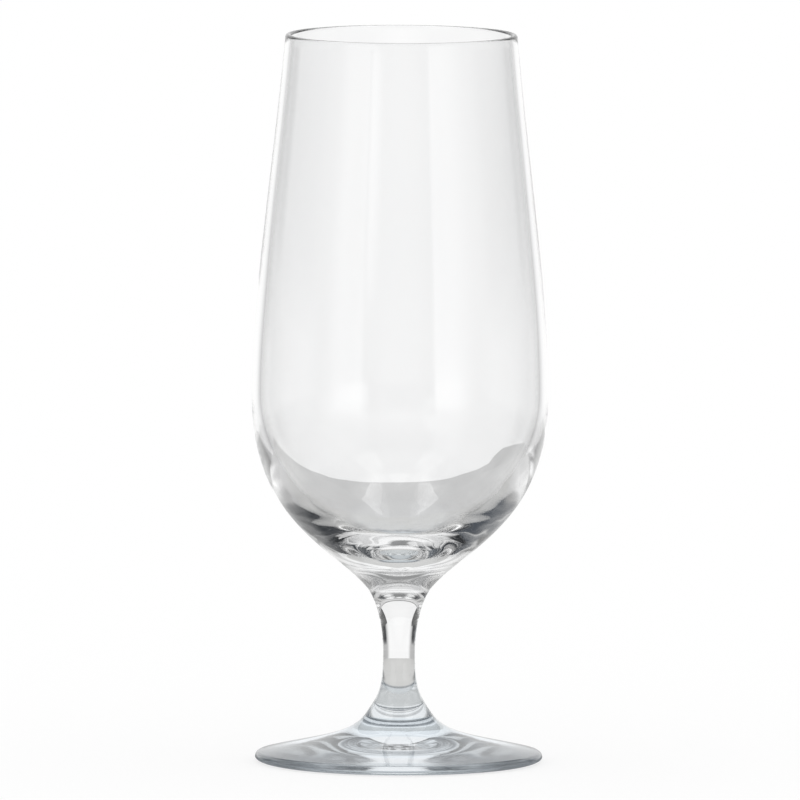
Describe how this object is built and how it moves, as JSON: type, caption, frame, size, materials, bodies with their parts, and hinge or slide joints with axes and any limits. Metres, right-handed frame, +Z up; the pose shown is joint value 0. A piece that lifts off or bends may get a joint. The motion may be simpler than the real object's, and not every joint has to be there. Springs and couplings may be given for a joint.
{
  "type": "tulip beer glass",
  "caption": "Clear stemmed beer glass: a low-bellied tulip bowl with a straight tapering wall and a rounded rim, on a waisted solid stem and a round coned foot, to hold a drink.",
  "frame": {"origin": "centre of the plane the foot rests on, on the glass's axis", "axes": "+Z up along the glass's axis, from the foot to the rim; X and Y lie in the resting plane and are alike, because the glass is round"},
  "size_m": [0.0764, 0.0764, 0.188],
  "materials": {
    "clear_glass": "clear, fire-polished, smooth and glossy"
  },
  "bodies": {
    "root": {"bowl": "clear_glass", "stem": "clear_glass", "foot": "clear_glass"}
  },
  "joints": []
}
